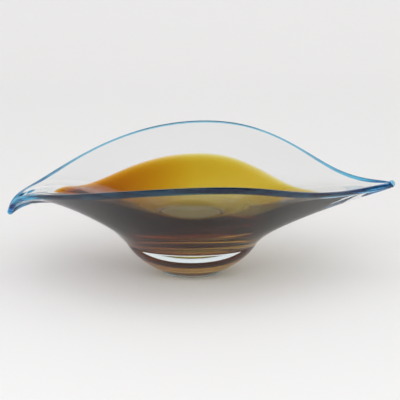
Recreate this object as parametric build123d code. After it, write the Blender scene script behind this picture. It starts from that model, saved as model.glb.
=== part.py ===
from build123d import *
import math
import os

# Hand-blown cased glass bowl with a leaf-shaped lip: a clear outer gather, an amber cup laid inside it,
# a thin clear lining, a blue thread round the lip and a solid clear heel under the crease.
# Millimetres. +X runs along the bowl to the raised right tip, +Z is up, and the low lip faces -Y.
# The origin is the middle of the polished base.

# Driving dimensions
FOOT_RADIUS = 38.0
FOOT_EDGE = 2.5
CREASE_RADIUS = 88.0
CREASE_HEIGHT = 42.0
HEEL_LOW_SLOPE = 27.0
HEEL_LOW_PULL = 25.0
HEEL_HIGH_SLOPE = 88.0
HEEL_TIP_SLOPE = 60.0
HEEL_HIGH_PULL = 18.0
DISH_BOTTOM = 20.0
FLAT_RADIUS = 20.0
LIP_CENTRE = 11.0
LIP_HALF_LENGTH = 258.0
LIP_THICKNESS = 8.0
CREASE_THICKNESS = 27.0
THICKNESS_TAPER = 1.15
LINING_THICKNESS = 2.4
AMBER_LOW_THICKNESS = 2.0
AMBER_THICKENING = 6.0
AMBER_SIDE_CHANGE = 0.6
AMBER_TIP_CHANGE = 0.8
AMBER_FRONT_CHANGE = 0.6
AMBER_EDGE_POWER = 16
AMBER_FLOOR_THICKNESS = 3.0
FLOOR_HEIGHT = 60.0
FLOOR_PULL = 0.4
WRAP_HEIGHT_BACK = 2.5
WRAP_HEIGHT_FRONT = 7.0
WRAP_PROFILE = ((0.03, 0.45), (0.18, 0.85), (0.5, 1.0), (0.82, 0.85), (0.97, 0.45))
CREASE_SLOPE = 50.0
SIDE_SLOPE_EASING = 12.0
CREASE_PULL = 0.29
LIP_PULL = 0.36
RIGHT_PULL_EASING = 0.16
BEAD_RADIUS = 5.0
BEAD_SETBACK = 2.0

# Lip stations from the right tip to the left tip, at equal steps of the angle round the lip:
# half the width across the bowl, height of the back lip, height of the front lip, slope of the wall there
LIP_STATIONS = [
    (0, 118, 118, 20),
    (9, 119, 118, 21),
    (19, 119, 116, 25),
    (52, 126, 117, 34),
    (121, 153, 130, 41),
    (176, 170, 149, 48),
    (196, 172, 153, 51),
    (186, 165, 147, 48),
    (150, 150, 136, 44),
    (85, 131, 120, 36),
    (36, 109, 109, 4),
    (12, 97, 95, -27),
    (0, 69, 69, -48),
]
HALF_TURN = len(LIP_STATIONS) - 1
FULL_TURN = 2 * HALF_TURN
BACK_TURN = HALF_TURN // 2

# Where the amber stops, as a part of the way from the crease to the lip: at the tips, back and front
AMBER_REACH_RIGHT = 0.50
AMBER_REACH_LEFT = 0.66
AMBER_REACH_BACK = 0.70
AMBER_REACH_FRONT = 0.64

# How finely the lofts follow the shape
RING_POINTS = 48
FLOOR_STEPS = (0.0, 0.3, 0.65, 1.0)
AMBER_STEPS = (0.0, 0.3, 0.6, 0.8, 0.93, 1.0)
RIM_STEPS = (0.0, 0.35, 0.7, 1.0)
OUTER_STEPS = (0.0, 0.15, 0.3, 0.45, 0.6, 0.75, 0.88, 1.0)
HEEL_STEPS = (0.0, 0.25, 0.5, 0.75, 1.0)

UP = Vector(0, 0, 1)


def lip_controls():
    """Control values round the whole lip: x, y, z and the slope of the wall."""
    step = math.pi / HALF_TURN
    xs = [LIP_CENTRE + LIP_HALF_LENGTH * math.cos(i * step) for i in range(HALF_TURN + 1)]
    back = [(x, width, high, slope) for x, (width, high, low, slope) in zip(xs, LIP_STATIONS)]
    front = [(x, -width, low, slope) for x, (width, high, low, slope) in zip(xs, LIP_STATIONS)]
    return back + front[HALF_TURN - 1:0:-1]


CONTROLS = lip_controls()


def lip_values(turn):
    """Uniform cubic B-spline through the controls: position, slope and direction of travel."""
    start = math.floor(turn)
    f = turn - start
    weights = ((1 - f) ** 3, 3 * f**3 - 6 * f**2 + 4, 1 + 3 * f + 3 * f**2 - 3 * f**3, f**3)
    rates = (-((1 - f) ** 2), 3 * f**2 - 4 * f, 1 + 2 * f - 3 * f**2, f**2)
    near = [CONTROLS[(start + k) % FULL_TURN] for k in (-1, 0, 1, 2)]
    values = [sum(w * c[i] for w, c in zip(weights, near)) / 6 for i in range(4)]
    travel = [sum(r * c[i] for r, c in zip(rates, near)) / 2 for i in range(2)]
    return Vector(*values[:3]), values[3], Vector(*travel, 0)


def lip_frame(turn):
    """Lip point, unit directions up along the wall and inward across it, and the wall's slope."""
    point, slope, travel = lip_values(turn)
    out = travel.cross(UP).normalized()
    return point, leaning(out, slope), leaning(-out, 90 - slope), slope


def bezier(points, s):
    """Point and unit tangent of a cubic Bezier curve."""
    a, b, c, d = points
    point = a * (1 - s) ** 3 + b * (3 * s * (1 - s) ** 2) + c * (3 * s**2 * (1 - s)) + d * s**3
    rate = (b - a) * (1 - s) ** 2 + (c - b) * (2 * s * (1 - s)) + (d - c) * s**2
    return point, rate.normalized()


def radial(turn):
    """Unit direction out from the axis."""
    angle = 2 * math.pi * turn / FULL_TURN
    return Vector(math.cos(angle), math.sin(angle), 0)


def leaning(out, slope):
    """Unit direction along out, raised by a slope in degrees."""
    return out * math.cos(math.radians(slope)) + UP * math.sin(math.radians(slope))


def crease_direction(turn):
    """Unit direction up the wall where it leaves the crease."""
    out = radial(turn)
    return leaning(out, CREASE_SLOPE - SIDE_SLOPE_EASING * out.Y ** 2)


def wrap_height(turn):
    """Height of the blue thread, which sagged into a wider band on the front of the lip."""
    return WRAP_HEIGHT_BACK + (WRAP_HEIGHT_FRONT - WRAP_HEIGHT_BACK) * (1 - radial(turn).Y) / 2


def outer_section(turn):
    """Bezier control points of the outside of the wall, from the crease to the lip."""
    point, along, inward, slope = lip_frame(turn)
    out = radial(turn)
    crease = out * CREASE_RADIUS + UP * CREASE_HEIGHT
    lip = point - along * wrap_height(turn) - inward * (LIP_THICKNESS / 2)
    reach = (lip - crease).length
    start = crease + crease_direction(turn) * (CREASE_PULL * reach)
    heading = Vector(lip.X - crease.X, lip.Y - crease.Y, 0).normalized()
    pull = LIP_PULL - RIGHT_PULL_EASING * max(out.X, 0) ** 2
    return crease, start, lip - leaning(heading, slope) * (pull * reach), lip


def wall_thickness(s):
    """Whole thickness of the glass, thicker towards the crease."""
    return LIP_THICKNESS + (CREASE_THICKNESS - LIP_THICKNESS) * (1 - s) ** THICKNESS_TAPER


def amber_reach(turn):
    """How far up the wall the amber goes, as a part of the way from the crease to the lip."""
    out = radial(turn)
    tip = AMBER_REACH_RIGHT if out.X > 0 else AMBER_REACH_LEFT
    side = AMBER_REACH_BACK if out.Y > 0 else AMBER_REACH_FRONT
    return tip + (side - tip) * out.Y ** 2


def amber_thickness(turn, s):
    """Thickness of the amber: more towards the lip, at the left and in front, closing to its edge."""
    out = radial(turn)
    sides = 1 - AMBER_SIDE_CHANGE * out.X + AMBER_TIP_CHANGE * out.X ** 2
    front = 1 + AMBER_FRONT_CHANGE * max(-out.Y, 0) ** 2
    full = (AMBER_LOW_THICKNESS + AMBER_THICKENING * s) * sides * front
    return full * max(1 - (s / amber_reach(turn)) ** AMBER_EDGE_POWER, 0)


def outside(turn, s):
    return 0.0


def inside(turn, s):
    return wall_thickness(s)


def lining_back(turn, s):
    return wall_thickness(s) - LINING_THICKNESS


def amber_back(turn, s):
    return lining_back(turn, s) - amber_thickness(turn, s)


def wall_point(turn, s, depth):
    """Point at part s of the way up the wall, depth(turn, s) in from its outside."""
    point, tangent = bezier(outer_section(turn), s)
    normal = (UP - tangent * tangent.Z).normalized()
    return point + normal * depth(turn, s)


def floor_point(turn, f, depth, floor):
    """Point of the rounded bottom at part f of the way from its flat middle to the crease level."""
    edge = wall_point(turn, 0.0, depth)
    out = radial(turn)
    middle = out * FLAT_RADIUS + UP * floor
    pull = FLOOR_PULL * (edge - middle).length
    return bezier((middle, middle + out * pull, edge - crease_direction(turn) * pull, edge), f)[0]


def heel_point(turn, f):
    """Point of the heel at part f of the way from the base up to its rounded shoulder at the crease."""
    out = radial(turn)
    base = out * (FOOT_RADIUS + FOOT_EDGE) + UP * FOOT_EDGE
    crease = out * CREASE_RADIUS + UP * CREASE_HEIGHT
    shoulder = HEEL_TIP_SLOPE + (HEEL_HIGH_SLOPE - HEEL_TIP_SLOPE) * out.Y ** 2
    low = base + leaning(out, HEEL_LOW_SLOPE) * HEEL_LOW_PULL
    high = crease - leaning(out, shoulder) * HEEL_HIGH_PULL
    return bezier((base, low, high, crease), f)[0]


def ring(place):
    """Closed smooth wire through place(turn) at equal steps round the bowl, from the middle of its back."""
    turns = [BACK_TURN + FULL_TURN * i / RING_POINTS for i in range(RING_POINTS)]
    steps = [i / RING_POINTS for i in range(RING_POINTS + 1)]
    return Wire([Edge.make_spline([place(turn) for turn in turns], periodic=True, parameters=steps)])


def skin(rings, ruled=False):
    """Open skin lofted through the rings."""
    return Shell.make_loft(rings, ruled).faces()


def floor_rings(depth, floor):
    return [ring(lambda turn, f=f: floor_point(turn, f, depth, floor)) for f in FLOOR_STEPS]


def lower_wall_rings(depth):
    """Rings from the crease level to the edge of the amber."""
    return [ring(lambda turn, f=f: wall_point(turn, f * amber_reach(turn), depth)) for f in AMBER_STEPS]


def upper_wall_point(turn, f, depth):
    reach = amber_reach(turn)
    return wall_point(turn, reach + (1 - reach) * f, depth)


def upper_wall_rings(depth):
    """Rings from the edge of the amber to the lip."""
    return [ring(lambda turn, f=f: upper_wall_point(turn, f, depth)) for f in RIM_STEPS]


def solid_of(faces):
    """Closed solid sewn from faces that share their edges."""
    return Solid(Shell(faces))


def wrap_point(turn, across, height):
    """Point of the thread: part of the way across the lip from outside to inside, and height above it."""
    outer_edge = wall_point(turn, 1.0, outside)
    inner_edge = wall_point(turn, 1.0, inside)
    span = inner_edge - outer_edge
    travel = lip_values(turn + 0.01)[0] - lip_values(turn - 0.01)[0]
    rise = travel.cross(span).normalized()
    return outer_edge + span * across + rise * height


def make_faces():
    """Every face of the bowl, made once, so that neighbouring pieces share it exactly."""
    base = ring(lambda turn: radial(turn) * FOOT_RADIUS)
    heel = [ring(lambda turn, f=f: heel_point(turn, f)) for f in HEEL_STEPS[:-1]]
    crease = ring(lambda turn: heel_point(turn, 1.0))
    dish = floor_rings(outside, DISH_BOTTOM)[:-1] + [crease]
    wall = [ring(lambda turn, s=s: wall_point(turn, s, outside)) for s in OUTER_STEPS[1:]]
    outer_lip = wall[-1]
    mid_lip = ring(lambda turn: wall_point(turn, 1.0, lining_back))
    inner_lip = ring(lambda turn: wall_point(turn, 1.0, inside))
    lining_low = floor_rings(lining_back, FLOOR_HEIGHT - LINING_THICKNESS)
    lining_mid = lower_wall_rings(lining_back)
    lining_high = upper_wall_rings(lining_back)
    amber_floor = FLOOR_HEIGHT - LINING_THICKNESS - AMBER_FLOOR_THICKNESS
    amber_low = floor_rings(amber_back, amber_floor)
    amber_mid = lower_wall_rings(amber_back)
    inner_low = floor_rings(inside, FLOOR_HEIGHT)
    inner_mid = lower_wall_rings(inside)
    inner_high = upper_wall_rings(inside)
    inner_rings = inner_low[:-1] + inner_mid[:-1] + inner_high[:-1] + [inner_lip]
    amber_edge = lining_mid[-1]
    thread = [
        ring(lambda turn, across=across, part=part: wrap_point(turn, across, part * wrap_height(turn)))
        for across, part in WRAP_PROFILE
    ]
    return {
        "base": [Face(base)] + skin([base, heel[0]], ruled=True),
        "heel": skin(heel + [crease]),
        "dish": [Face(dish[0])] + skin(dish),
        "outer": skin([crease] + wall),
        "outer_rim": skin([outer_lip, mid_lip], ruled=True),
        "inner_rim": skin([mid_lip, inner_lip], ruled=True),
        "amber_outer": [Face(amber_low[0])] + skin(amber_low[:-1] + amber_mid[:-1] + [amber_edge]),
        "amber_inner": [Face(lining_low[0])] + skin(lining_low[:-1] + lining_mid),
        "lining_upper": skin([amber_edge] + lining_high[1:-1] + [mid_lip]),
        "inner": [Face(inner_low[0])] + skin(inner_rings),
        "bead_skin": skin([outer_lip] + thread + [inner_lip]),
    }


def clear_foot(faces):
    return solid_of(faces["base"] + faces["heel"] + faces["dish"])


def clear_casing(faces):
    return solid_of(
        faces["dish"] + faces["outer"] + faces["outer_rim"] + faces["lining_upper"] + faces["amber_outer"]
    )


def amber_cup(faces):
    return solid_of(faces["amber_outer"] + faces["amber_inner"])


def clear_lining(faces):
    return solid_of(faces["amber_inner"] + faces["lining_upper"] + faces["inner_rim"] + faces["inner"])


def blue_lip_wrap(faces):
    return solid_of(faces["outer_rim"] + faces["inner_rim"] + faces["bead_skin"])


def lip_wrap_tail(neighbours):
    """Bead left on the right tip where the thread was cut off, moulded round the glass under it."""
    tip = wrap_point(0.0, 0.5, wrap_height(0.0))
    bead = Solid.make_sphere(BEAD_RADIUS).moved(Location(tip - Vector(BEAD_SETBACK, 0, 0)))
    return bead.cut(*neighbours)


def main():
    faces = make_faces()
    pieces = {
        "clear_foot": clear_foot(faces),
        "clear_casing": clear_casing(faces),
        "amber_cup": amber_cup(faces),
        "clear_lining": clear_lining(faces),
        "blue_lip_wrap": blue_lip_wrap(faces),
    }
    under_bead = [pieces["clear_casing"], pieces["clear_lining"], pieces["blue_lip_wrap"]]
    pieces["lip_wrap_tail"] = lip_wrap_tail(under_bead)
    os.makedirs("parts", exist_ok=True)
    for name, piece in pieces.items():
        export_step(piece, f"parts/{name}.step")


main()
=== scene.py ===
import math

import bmesh
import bpy
import numpy as np
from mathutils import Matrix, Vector


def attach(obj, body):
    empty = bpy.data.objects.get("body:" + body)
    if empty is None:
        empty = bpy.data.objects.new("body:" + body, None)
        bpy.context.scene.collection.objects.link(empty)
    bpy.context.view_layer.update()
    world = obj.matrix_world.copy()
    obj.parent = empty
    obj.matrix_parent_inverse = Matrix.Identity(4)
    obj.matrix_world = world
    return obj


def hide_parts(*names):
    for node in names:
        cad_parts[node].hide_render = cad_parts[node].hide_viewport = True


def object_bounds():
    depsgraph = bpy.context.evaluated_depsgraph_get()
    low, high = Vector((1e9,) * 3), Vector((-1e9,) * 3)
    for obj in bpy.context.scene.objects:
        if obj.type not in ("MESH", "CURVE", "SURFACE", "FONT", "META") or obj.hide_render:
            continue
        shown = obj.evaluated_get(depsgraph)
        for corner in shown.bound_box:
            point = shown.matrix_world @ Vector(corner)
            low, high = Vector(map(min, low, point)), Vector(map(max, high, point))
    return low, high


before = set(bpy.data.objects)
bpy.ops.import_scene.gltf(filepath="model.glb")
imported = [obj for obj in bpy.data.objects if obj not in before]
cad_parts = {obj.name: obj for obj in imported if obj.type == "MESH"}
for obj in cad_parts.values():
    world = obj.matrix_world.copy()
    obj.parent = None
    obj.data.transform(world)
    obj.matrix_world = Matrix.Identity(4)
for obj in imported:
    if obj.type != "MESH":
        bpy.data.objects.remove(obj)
CAD_LOW, CAD_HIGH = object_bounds()

# ---------------------------------------------------------------- shape of the bowl, in metres and degrees
MM = 0.001
FOOT_RADIUS = 38 * MM
FOOT_EDGE = 2.5 * MM
CREASE_RADIUS = 88 * MM
CREASE_HEIGHT = 42 * MM
HEEL_LOW_SLOPE = 27
HEEL_LOW_PULL = 25 * MM
HEEL_HIGH_SLOPE = 88
HEEL_TIP_SLOPE = 60
HEEL_HIGH_PULL = 18 * MM
FLAT_RADIUS = 20 * MM
FLOOR_HEIGHT = 60 * MM
FLOOR_PULL = 0.4
LIP_CENTRE = 11 * MM
LIP_HALF_LENGTH = 258 * MM
LIP_THICKNESS = 8 * MM
CREASE_THICKNESS = 27 * MM
THICKNESS_TAPER = 1.15
LINING_THICKNESS = 2.4 * MM
AMBER_LOW_THICKNESS = 2 * MM
AMBER_THICKENING = 6 * MM
AMBER_SIDE_CHANGE = 0.6
AMBER_TIP_CHANGE = 0.8
AMBER_FRONT_CHANGE = 0.6
AMBER_EDGE_POWER = 16
AMBER_FLOOR_THICKNESS = 3 * MM
WRAP_HEIGHT_BACK = 2.5 * MM
WRAP_HEIGHT_FRONT = 7 * MM
CREASE_SLOPE = 50
SIDE_SLOPE_EASING = 12
CREASE_PULL = 0.29
LIP_PULL = 0.36
RIGHT_PULL_EASING = 0.16

# The blue thread lies this far inside the skin of the clear glass, so that no two surfaces touch
SKIN_GAP = 0.15 * MM

# Lip stations from the right tip to the left tip, in millimetres and degrees:
# half width, back height, front height, wall slope
LIP_STATIONS = np.array([
    (0, 118, 118, 20),
    (9, 119, 118, 21),
    (19, 119, 116, 25),
    (52, 126, 117, 34),
    (121, 153, 130, 41),
    (176, 170, 149, 48),
    (196, 172, 153, 51),
    (186, 165, 147, 48),
    (150, 150, 136, 44),
    (85, 131, 120, 36),
    (36, 109, 109, 4),
    (12, 97, 95, -27),
    (0, 69, 69, -48),
])
HALF_TURN = len(LIP_STATIONS) - 1
FULL_TURN = 2 * HALF_TURN

# Where the amber stops, as a part of the way from the crease to the lip
AMBER_REACH_RIGHT = 0.50
AMBER_REACH_LEFT = 0.66
AMBER_REACH_BACK = 0.70
AMBER_REACH_FRONT = 0.64

# How finely the meshes follow the shape, and where flat parts have rows, as parts of their width
COLUMNS = 320
HEEL_ROWS = 30
WALL_ROWS = 70
AMBER_ROWS = 60
FLOOR_ROWS = 24
LIP_ROWS = 15
CORNER_ROWS = 6
DISC_PARTS = (0.05, 0.3, 0.6, 0.85)
THREAD_UNDERSIDE = (0.8, 0.5, 0.2)

UP = np.array([0.0, 0.0, 1.0])


def unit(v):
    return v / np.linalg.norm(v, axis=-1, keepdims=True)


def lip_controls():
    """Control values round the whole lip: x, y, z in metres and the slope of the wall in degrees."""
    angle = np.pi * np.arange(HALF_TURN + 1) / HALF_TURN
    x = LIP_CENTRE + LIP_HALF_LENGTH * np.cos(angle)
    width, high, low, slope = LIP_STATIONS.T
    back = np.stack([x, width * MM, high * MM, slope], 1)
    front = np.stack([x, -width * MM, low * MM, slope], 1)
    return np.concatenate([back, front[HALF_TURN - 1:0:-1]])


def lip_values(turn):
    """Uniform cubic B-spline through the controls: position, slope in degrees and travel."""
    controls = lip_controls()
    start = np.floor(turn).astype(int)
    f = (turn - start)[:, None]
    near = [controls[(start + k) % FULL_TURN] for k in (-1, 0, 1, 2)]
    weights = ((1 - f) ** 3, 3 * f**3 - 6 * f**2 + 4, 1 + 3 * f + 3 * f**2 - 3 * f**3, f**3)
    rates = (-((1 - f) ** 2), 3 * f**2 - 4 * f, 1 + 2 * f - 3 * f**2, f**2)
    values = sum(w * c for w, c in zip(weights, near)) / 6
    travel = sum(r * c for r, c in zip(rates, near)) / 2
    return values[:, :3], values[:, 3:], travel[:, :3]


def leaning(out, degrees):
    """Unit direction along out, raised by degrees."""
    lean = np.radians(degrees)
    return out * np.cos(lean) + UP * np.sin(lean)


def radial(turn):
    """Unit directions out from the axis."""
    angle = 2 * np.pi * turn / FULL_TURN
    return np.stack([np.cos(angle), np.sin(angle), np.zeros_like(angle)], 1)


# One column of points for each of these turns round the bowl
TURNS = np.arange(COLUMNS) * FULL_TURN / COLUMNS
OUT = radial(TURNS)
ACROSS = OUT[:, :1]
DEEP = OUT[:, 1:2]
CREASE_UP = leaning(OUT, CREASE_SLOPE - SIDE_SLOPE_EASING * DEEP**2)
WRAP_HEIGHT = WRAP_HEIGHT_BACK + (WRAP_HEIGHT_FRONT - WRAP_HEIGHT_BACK) * (1 - DEEP) / 2


def disc_row(radius, height):
    """A level circle of points round the axis."""
    return OUT * radius + UP * height


def bezier(points, s):
    """Points and unit tangents of a cubic Bezier curve in every column."""
    a, b, c, d = points
    point = a * (1 - s) ** 3 + b * (3 * s * (1 - s) ** 2) + c * (3 * s**2 * (1 - s)) + d * s**3
    rate = (b - a) * (1 - s) ** 2 + (c - b) * (2 * s * (1 - s)) + (d - c) * s**2
    return point, unit(rate)


def outer_section():
    """Bezier control points of the outside of the wall in every column, from the crease to the lip."""
    point, slope, travel = lip_values(TURNS)
    side = unit(np.cross(travel * (1, 1, 0), UP))
    inward = leaning(-side, 90 - slope)
    crease = disc_row(CREASE_RADIUS, CREASE_HEIGHT)
    lip = point - leaning(side, slope) * WRAP_HEIGHT - inward * (LIP_THICKNESS / 2)
    reach = np.linalg.norm(lip - crease, axis=1, keepdims=True)
    heading = unit((lip - crease) * (1, 1, 0))
    pull = (LIP_PULL - RIGHT_PULL_EASING * np.maximum(ACROSS, 0) ** 2) * reach
    return crease, crease + CREASE_UP * (CREASE_PULL * reach), lip - leaning(heading, slope) * pull, lip


def amber_reach():
    """How far up the wall the amber goes in every column."""
    tip = np.where(ACROSS > 0, AMBER_REACH_RIGHT, AMBER_REACH_LEFT)
    side = np.where(DEEP > 0, AMBER_REACH_BACK, AMBER_REACH_FRONT)
    return tip + (side - tip) * DEEP**2


def amber_change():
    """How the amber thickens round the bowl: most at the left, and more in front than behind."""
    sides = 1 - AMBER_SIDE_CHANGE * ACROSS + AMBER_TIP_CHANGE * ACROSS**2
    return sides * (1 + AMBER_FRONT_CHANGE * np.maximum(-DEEP, 0) ** 2)


SECTION = outer_section()
AMBER_REACH = amber_reach()
AMBER_CHANGE = amber_change()


def wall_thickness(s):
    """Thickness of the wall at part s of the way from the crease to the lip."""
    return LIP_THICKNESS + (CREASE_THICKNESS - LIP_THICKNESS) * (1 - s) ** THICKNESS_TAPER


# How deep in from the outside of the wall each surface lies, at part s of the way up
def outside(s):
    return 0 * s


def inside(s):
    return wall_thickness(s)


def lining_back(s):
    return wall_thickness(s) - LINING_THICKNESS


def amber_back(s):
    full = (AMBER_LOW_THICKNESS + AMBER_THICKENING * s) * AMBER_CHANGE
    return lining_back(s) - full * np.maximum(1 - (s / AMBER_REACH) ** AMBER_EDGE_POWER, 0)


def wall_row(s, depth):
    """Every column's point at part s of the way up the wall, depth(s) in from its outside."""
    s = s + np.zeros((COLUMNS, 1))
    point, tangent = bezier(SECTION, s)
    normal = unit(UP - tangent * tangent[:, 2:])
    return point + normal * depth(s)


def floor_row(f, depth, floor):
    """The rounded bottom at part f of the way from its flat middle to the crease level."""
    edge = wall_row(0.0, depth)
    middle = disc_row(FLAT_RADIUS, floor)
    pull = FLOOR_PULL * np.linalg.norm(edge - middle, axis=1, keepdims=True)
    return bezier((middle, middle + OUT * pull, edge - CREASE_UP * pull, edge), f)[0]


def heel_row(f):
    """The heel at part f of the way from the base up to its rounded shoulder at the crease."""
    base = disc_row(FOOT_RADIUS + FOOT_EDGE, FOOT_EDGE)
    crease = disc_row(CREASE_RADIUS, CREASE_HEIGHT)
    low = base + leaning(OUT, HEEL_LOW_SLOPE) * HEEL_LOW_PULL
    shoulder = HEEL_TIP_SLOPE + (HEEL_HIGH_SLOPE - HEEL_TIP_SLOPE) * DEEP**2
    return bezier((base, low, crease - leaning(OUT, shoulder) * HEEL_HIGH_PULL, crease), f)[0]


def lip_row(across, height):
    """A row over the lip: part of the way across it from outside to inside, and height above it."""
    outer_edge = wall_row(1.0, outside)
    span = wall_row(1.0, inside) - outer_edge
    travel = np.roll(outer_edge, -1, axis=0) - np.roll(outer_edge, 1, axis=0)
    return outer_edge + span * across + unit(np.cross(travel, span)) * height


def steps(count):
    """count values from 0 up to, but without, 1."""
    return [i / count for i in range(count)]


# ---------------------------------------------------------------- meshes
def grid_mesh(name, rows, capped):
    """Closed mesh from rows of points, either capped at its end rows or joined end to start."""
    count = len(rows)
    points = np.concatenate(rows)
    column = np.arange(COLUMNS)
    after = (column + 1) % COLUMNS
    faces = []
    for r in range(count - 1 if capped else count):
        a = r * COLUMNS
        b = ((r + 1) % count) * COLUMNS
        faces += np.stack([a + column, a + after, b + after, b + column], 1).tolist()
    if capped:
        first = len(points)
        top = first - COLUMNS
        points = np.concatenate([points, [rows[0].mean(0), rows[-1].mean(0)]])
        faces += [(first, int(j), int(i)) for i, j in zip(column, after)]
        faces += [(first + 1, int(top + i), int(top + j)) for i, j in zip(column, after)]
    mesh = bpy.data.meshes.new(name)
    mesh.from_pydata(points.tolist(), [], faces)
    turn_outward(mesh)
    mesh.shade_smooth()
    piece = bpy.data.objects.new(name, mesh)
    bpy.context.scene.collection.objects.link(piece)
    return piece


def turn_outward(mesh):
    """Turn the faces of a closed mesh to face out."""
    work = bmesh.new()
    work.from_mesh(mesh)
    bmesh.ops.recalc_face_normals(work, faces=work.faces)
    if work.calc_volume(signed=True) < 0:
        bmesh.ops.reverse_faces(work, faces=work.faces)
    work.to_mesh(mesh)
    work.free()


def disc_rows(radius, height):
    """Rows of a flat disc, from its middle towards its edge."""
    return [disc_row(radius * part, height) for part in DISC_PARTS]


def corner_rows():
    """The rounded edge of the base."""
    angles = [math.pi / 2 * part for part in steps(CORNER_ROWS)]
    return [disc_row(FOOT_RADIUS + FOOT_EDGE * math.sin(a), FOOT_EDGE * (1 - math.cos(a))) for a in angles]


def bowl_rows(depth, floor):
    """Rows of the rounded bottom of one layer, from its middle out to the crease level."""
    return disc_rows(FLAT_RADIUS, floor) + [floor_row(f, depth, floor) for f in steps(FLOOR_ROWS)]


def lip_arc():
    """Angles over the lip, from its outside to its inside."""
    return [math.pi * i / (LIP_ROWS - 1) for i in range(LIP_ROWS)]


def build_envelope():
    """The whole body of glass, from the middle of the base up the outside, over the lip and down inside."""
    heel = [heel_row(f) for f in steps(HEEL_ROWS)]
    wall = [wall_row(s, outside) for s in steps(WALL_ROWS)]
    lip = [lip_row(0.5 - 0.5 * math.cos(a), WRAP_HEIGHT * math.sin(a)) for a in lip_arc()]
    hollow = bowl_rows(inside, FLOOR_HEIGHT) + [wall_row(s, inside) for s in steps(WALL_ROWS)]
    rows = disc_rows(FOOT_RADIUS, 0.0) + corner_rows() + heel + wall + lip + hollow[::-1]
    return grid_mesh("glass_body", rows, True)


def build_amber():
    """The amber cup, up its back to the sharp edge and down its face."""
    high = FLOOR_HEIGHT - LINING_THICKNESS
    back = bowl_rows(amber_back, high - AMBER_FLOOR_THICKNESS)
    back += [wall_row(AMBER_REACH * f, amber_back) for f in steps(AMBER_ROWS)]
    face = bowl_rows(lining_back, high)
    face += [wall_row(AMBER_REACH * f, lining_back) for f in steps(AMBER_ROWS) + [1.0]]
    return grid_mesh("amber_cup_glass", back + face[::-1], True)


def build_thread():
    """The blue thread round the lip, just under the skin of the clear glass."""
    width = 0.5 - SKIN_GAP / LIP_THICKNESS
    rows = [lip_row(0.5 - width * math.cos(a), (WRAP_HEIGHT - SKIN_GAP) * math.sin(a)) for a in lip_arc()]
    rows += [lip_row(part, 0.0) for part in THREAD_UNDERSIDE]
    return grid_mesh("blue_thread", rows, False)


# ---------------------------------------------------------------- materials
CLEAR_TINT = (0.55, 0.85, 0.95)
CLEAR_DENSITY = 2.0
AMBER_TINT = (0.90, 0.80, 0.05)
AMBER_DENSITY = 800.0
BLUE_TINT = (0.03, 0.71, 0.93)
BLUE_DENSITY = 60.0
BLUE_CLEARNESS = 0.9
BEAD_DENSITY = 3 * BLUE_DENSITY

# A colour layer inside the clear glass bends no light of its own
GLASS_IOR = 1.5
LAYER_IOR = 1.0

# Amber turns redder from the middle to its left, and blue turns paler from the middle to the back as
# painted light, standing in for the backdrop shining through the back of the thread
AMBER_LEFT_TINT = (0.96, 0.60, 0.50)
AMBER_REDDEST = -115 * MM
BLUE_PAINTED_BACKLIGHT_TINT = (0.45, 0.82, 1.0)
BLUE_PAINTED_BACKLIGHT_END = 110 * MM

# Each cloud and ripple: how its noise is stretched along x, y and z, and its scale
AMBER_CLOUD = ((1.0, 1.0, 3.0), 7.0)
BLUE_CLOUD = ((0.3, 1.0, 6.0), 22.0)
CLEAR_RIPPLE = ((1.0, 1.0, 2.5), 9.0)
BEAD_RIPPLE = ((1.0, 1.0, 1.0), 60.0)
CLOUD_DETAIL = 3.0
RIPPLE_DETAIL = 1.0
RIPPLE_DEPTH = 0.25 * MM

# Noise up to the first value gives a cloud's first colour, and from the second value its second
CLOUD_RANGE = (0.42, 0.58)
AMBER_CLOUD_COLOURS = ((1.0, 1.0, 1.0), (1.0, 0.95, 0.86))
BLUE_CLOUD_COLOURS = ((0.15, 0.68, 0.98), (0.01, 0.12, 0.42))


def glass_material(name, ior, tint, density, clearness=1.0):
    """Glass whose colour deepens with how far light travels through it."""
    material = bpy.data.materials.new(name)
    material.use_nodes = True
    nodes = material.node_tree.nodes
    shader = nodes["Principled BSDF"]
    shader.inputs["Base Color"].default_value = (1, 1, 1, 1)
    shader.inputs["Transmission Weight"].default_value = clearness
    shader.inputs["IOR"].default_value = ior
    shader.inputs["Roughness"].default_value = 0.0
    volume = nodes.new("ShaderNodeVolumeAbsorption")
    volume.inputs["Color"].default_value = (*tint, 1)
    volume.inputs["Density"].default_value = density
    material.node_tree.links.new(volume.outputs["Volume"], nodes["Material Output"].inputs["Volume"])
    return material


def noise(material, stretch, scale, detail):
    """Noise over the object, stretched along its axes."""
    nodes = material.node_tree.nodes
    links = material.node_tree.links
    place = nodes.new("ShaderNodeTexCoord")
    mapping = nodes.new("ShaderNodeMapping")
    mapping.inputs["Scale"].default_value = stretch
    texture = nodes.new("ShaderNodeTexNoise")
    texture.inputs["Scale"].default_value = scale
    texture.inputs["Detail"].default_value = detail
    links.new(place.outputs["Object"], mapping.inputs["Vector"])
    links.new(mapping.outputs["Vector"], texture.inputs["Vector"])
    return texture


def add_ripple(material, stretch, scale):
    """The faint ripples that hand-blown glass keeps."""
    texture = noise(material, stretch, scale, RIPPLE_DETAIL)
    nodes = material.node_tree.nodes
    links = material.node_tree.links
    bump = nodes.new("ShaderNodeBump")
    bump.inputs["Strength"].default_value = 1.0
    bump.inputs["Distance"].default_value = RIPPLE_DEPTH
    links.new(texture.outputs["Fac"], bump.inputs["Height"])
    links.new(bump.outputs["Normal"], nodes["Principled BSDF"].inputs["Normal"])


def add_cloud(material, stretch, scale, colours):
    """Base colour that varies softly from place to place, between two colours."""
    texture = noise(material, stretch, scale, CLOUD_DETAIL)
    nodes = material.node_tree.nodes
    links = material.node_tree.links
    ramp = nodes.new("ShaderNodeValToRGB")
    for stop, position, colour in zip(ramp.color_ramp.elements, CLOUD_RANGE, colours):
        stop.position = position
        stop.color = (*colour, 1)
    links.new(texture.outputs["Fac"], ramp.inputs["Fac"])
    links.new(ramp.outputs["Color"], nodes["Principled BSDF"].inputs["Base Color"])


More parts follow.
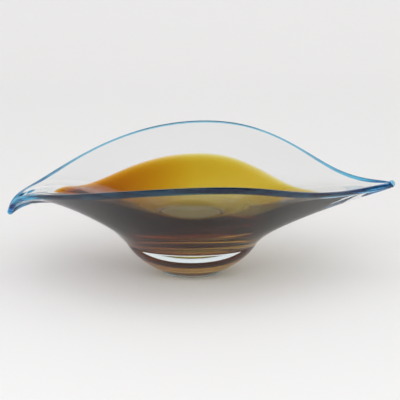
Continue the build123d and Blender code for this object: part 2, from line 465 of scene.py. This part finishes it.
def fade_colour(material, axis, start, end, colour):
    """Turn the base colour into another one from start to end along an axis of the bowl."""
    nodes = material.node_tree.nodes
    links = material.node_tree.links
    base = nodes["Principled BSDF"].inputs["Base Color"]
    near_colour = base.links[0].from_socket
    place = nodes.new("ShaderNodeTexCoord")
    split = nodes.new("ShaderNodeSeparateXYZ")
    fade = nodes.new("ShaderNodeMapRange")
    fade.inputs["From Min"].default_value = start
    fade.inputs["From Max"].default_value = end
    mix = nodes.new("ShaderNodeMixRGB")
    mix.inputs["Color2"].default_value = (*colour, 1)
    links.new(place.outputs["Object"], split.inputs["Vector"])
    links.new(split.outputs[axis], fade.inputs["Value"])
    links.new(fade.outputs["Result"], mix.inputs["Fac"])
    links.new(near_colour, mix.inputs["Color1"])
    links.new(mix.outputs["Color"], base)


def clear_material():
    material = glass_material("clear_glass", GLASS_IOR, CLEAR_TINT, CLEAR_DENSITY)
    add_ripple(material, *CLEAR_RIPPLE)
    return material


def amber_material():
    """Amber, which is redder on the left."""
    material = glass_material("amber_glass", LAYER_IOR, AMBER_TINT, AMBER_DENSITY)
    add_cloud(material, *AMBER_CLOUD, AMBER_CLOUD_COLOURS)
    fade_colour(material, "X", 0.0, AMBER_REDDEST, AMBER_LEFT_TINT)
    return material


def blue_material():
    """Blue, which is a little milky and streaked along the lip, with painted light that makes it paler
    towards the back.
    """
    material = glass_material("blue_glass", LAYER_IOR, BLUE_TINT, BLUE_DENSITY, BLUE_CLEARNESS)
    add_cloud(material, *BLUE_CLOUD, BLUE_CLOUD_COLOURS)
    # Painted light: the base colour pales towards the back, as if the backdrop shone through the thread
    # there
    fade_colour(material, "Y", 0.0, BLUE_PAINTED_BACKLIGHT_END, BLUE_PAINTED_BACKLIGHT_TINT)
    return material


def bead_material():
    """The blue bead stands proud of the clear glass, so it bends light itself."""
    material = glass_material("blue_bead", GLASS_IOR, BLUE_TINT, BEAD_DENSITY)
    add_ripple(material, *BEAD_RIPPLE)
    return material


# ---------------------------------------------------------------- the set
PAPER_GREY = 0.84
PAPER_ROUGHNESS = 0.6
PAPER_GLOSS = 0.2
PAPER_GLOW = 0.08
SWEEP_HALF_WIDTH = 4.0
SWEEP_FRONT = -3.2
SWEEP_BEND = 1.6
SWEEP_RADIUS = 0.8
SWEEP_HEIGHT = 3.0
SWEEP_STEPS = 16

# Each light: place, what it points at, size and power
KEY = ((2.2, 0.8, 1.9), (0.0, 0.0, 0.05), (1.8, 1.8), 3)
FRONTLIGHT = ((0.0, -2.2, 1.7), (0.0, -0.4, 0.0), (2.4, 1.0), 18)
SIDELIGHT = ((-1.6, -0.6, 0.9), (0.0, 0.0, 0.0), (0.8, 0.8), 2)
WORLD_COLOUR = (1.0, 0.985, 0.98, 1)
WORLD_STRENGTH = 0.80

# Dark card over the set, seen in reflections and through glass
CARD_FRONT = -2.0
CARD_BACK = 1.2
CARD_HALF_WIDTH = 2.0
CARD_HEIGHT = 1.5
CARD_GREY = 0.15
CARD_ROUGHNESS = 1.0
CARD_GLOSS = 0.0

CAMERA_DISTANCE = 2.4
CAMERA_ELEVATION = 12
CAMERA_LENS = 163
CAMERA_SENSOR = 36
CAMERA_RANGE = 100

# Where the camera aims, from the middle of the bowl's box
AIM_SHIFT_ACROSS = -0.9 * MM
AIM_SHIFT_UP = 10 * MM

# How often light may cross glass, shine off it, leave the floor and pass straight on, and the
# brightest that one indirect sample may be
GLASS_BOUNCES = 32
GLOSS_BOUNCES = 12
FLOOR_BOUNCES = 4
STRAIGHT_PASSES = 16
BRIGHTEST_INDIRECT = 8


def matte_material(name, grey, roughness, gloss, glow=0.0):
    material = bpy.data.materials.new(name)
    material.use_nodes = True
    shader = material.node_tree.nodes["Principled BSDF"]
    shader.inputs["Base Color"].default_value = (grey, grey, grey, 1)
    shader.inputs["Roughness"].default_value = roughness
    shader.inputs["Specular IOR Level"].default_value = gloss
    shader.inputs["Emission Color"].default_value = (1, 1, 1, 1)
    shader.inputs["Emission Strength"].default_value = glow
    return material


def set_sheet(name, points, faces, material):
    """A sheet of the set, which is not part of the bowl."""
    mesh = bpy.data.meshes.new(name)
    mesh.from_pydata(points, [], faces)
    mesh.materials.append(material)
    sheet = bpy.data.objects.new(name, mesh)
    bpy.context.scene.collection.objects.link(sheet)
    return sheet


def build_sweep():
    """Floor that curves up into the backdrop."""
    profile = [(SWEEP_FRONT, 0.0), (SWEEP_BEND, 0.0)]
    for i in range(1, SWEEP_STEPS + 1):
        a = math.pi / 2 * i / SWEEP_STEPS
        profile.append((SWEEP_BEND + SWEEP_RADIUS * math.sin(a), SWEEP_RADIUS * (1 - math.cos(a))))
    profile.append((SWEEP_BEND + SWEEP_RADIUS, SWEEP_HEIGHT))
    points = [(x, y, z) for y, z in profile for x in (-SWEEP_HALF_WIDTH, SWEEP_HALF_WIDTH)]
    faces = [(2 * i, 2 * i + 1, 2 * i + 3, 2 * i + 2) for i in range(len(profile) - 1)]
    paper = matte_material("sweep_paper", PAPER_GREY, PAPER_ROUGHNESS, PAPER_GLOSS, PAPER_GLOW)
    set_sheet("sweep", points, faces, paper).data.shade_smooth()


def area_light(name, place, target, size, power):
    light = bpy.data.lights.new(name, "AREA")
    light.shape = "RECTANGLE"
    light.size, light.size_y = size
    light.energy = power
    lamp = bpy.data.objects.new(name, light)
    lamp.location = place
    lamp.rotation_euler = (Vector(target) - Vector(place)).to_track_quat("-Z", "Y").to_euler()
    bpy.context.scene.collection.objects.link(lamp)


def build_lights():
    area_light("key_right_behind", *KEY)
    area_light("front", *FRONTLIGHT)
    area_light("side_left", *SIDELIGHT)
    world = bpy.data.worlds.new("studio")
    world.use_nodes = True
    world.node_tree.nodes["Background"].inputs["Color"].default_value = WORLD_COLOUR
    world.node_tree.nodes["Background"].inputs["Strength"].default_value = WORLD_STRENGTH
    bpy.context.scene.world = world


def build_card():
    """Dark card overhead, which shows only in reflections and through glass, and casts no shadow."""
    points = [
        (-CARD_HALF_WIDTH, CARD_FRONT, CARD_HEIGHT),
        (CARD_HALF_WIDTH, CARD_FRONT, CARD_HEIGHT),
        (CARD_HALF_WIDTH, CARD_BACK, CARD_HEIGHT),
        (-CARD_HALF_WIDTH, CARD_BACK, CARD_HEIGHT),
    ]
    dark = matte_material("card_dark", CARD_GREY, CARD_ROUGHNESS, CARD_GLOSS)
    card = set_sheet("overhead_card", points, [(0, 1, 2, 3)], dark)
    card.visible_camera = False
    card.visible_diffuse = False
    card.visible_shadow = False


def build_camera():
    """Camera aimed close to the middle of the bowl, looking along +Y and a little down."""
    camera = bpy.data.objects.new("camera", bpy.data.cameras.new("camera"))
    lean = math.radians(CAMERA_ELEVATION)
    middle = (Vector(CAD_LOW) + Vector(CAD_HIGH)) / 2
    aim = Vector((middle.x + AIM_SHIFT_ACROSS, 0.0, middle.z + AIM_SHIFT_UP))
    camera.location = aim + Vector((0, -math.cos(lean), math.sin(lean))) * CAMERA_DISTANCE
    camera.rotation_euler = (math.pi / 2 - lean, 0, 0)
    camera.data.lens = CAMERA_LENS
    camera.data.sensor_width = CAMERA_SENSOR
    camera.data.clip_end = CAMERA_RANGE
    bpy.context.scene.collection.objects.link(camera)
    bpy.context.scene.camera = camera


def set_light_paths():
    """Enough bounces for light to cross every layer of glass."""
    cycles = bpy.context.scene.cycles
    cycles.max_bounces = GLASS_BOUNCES
    cycles.transmission_bounces = GLASS_BOUNCES
    cycles.glossy_bounces = GLOSS_BOUNCES
    cycles.diffuse_bounces = FLOOR_BOUNCES
    cycles.transparent_max_bounces = STRAIGHT_PASSES
    cycles.sample_clamp_indirect = BRIGHTEST_INDIRECT
    bpy.context.scene.view_settings.view_transform = "Standard"


def finish_piece(piece, material, slot, *nodes):
    """Material and body of a piece that stands for CAD nodes, whose CAD parts are hidden; slot is not used.
    """
    piece.data.materials.append(material)
    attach(piece, "root")
    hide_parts(*nodes)


def finish_bead():
    """The bead keeps its CAD shape."""
    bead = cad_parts["lip_wrap_tail"]
    bead.data.materials.clear()
    bead.data.materials.append(bead_material())


def main():
    body = build_envelope()
    finish_piece(body, clear_material(), "clear_glass", "clear_casing", "clear_lining", "clear_foot")
    finish_piece(build_amber(), amber_material(), "amber_glass", "amber_cup")
    finish_piece(build_thread(), blue_material(), "blue_glass", "blue_lip_wrap")
    finish_bead()
    build_sweep()
    build_card()
    build_lights()
    build_camera()
    set_light_paths()


main()
